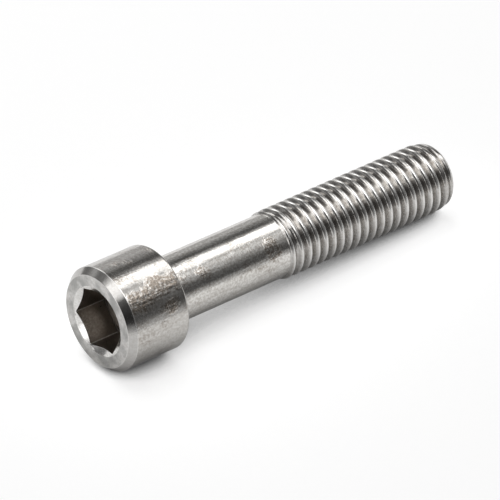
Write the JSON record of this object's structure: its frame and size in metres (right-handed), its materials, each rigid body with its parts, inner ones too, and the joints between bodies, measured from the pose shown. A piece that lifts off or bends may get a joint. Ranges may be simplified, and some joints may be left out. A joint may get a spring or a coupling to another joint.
{
  "type": "hex socket cap screw",
  "caption": "Stainless steel socket head cap screw with a hexagon socket, a plain shank and a coarse right-hand thread towards its chamfered tip.",
  "frame": {"origin": "centre of the bearing face under the head", "axes": "+Z along the shank towards the tip; +X through a corner of the hexagon socket. At rest the screw stands on the flat top of its head, with the tip up."},
  "size_m": [0.018, 0.018, 0.072],
  "materials": {
    "stainless_steel": "cold-forged and turned stainless steel, bright, with fine turning lines and light pitting"
  },
  "bodies": {
    "root": {"screw": "stainless_steel"}
  },
  "joints": []
}
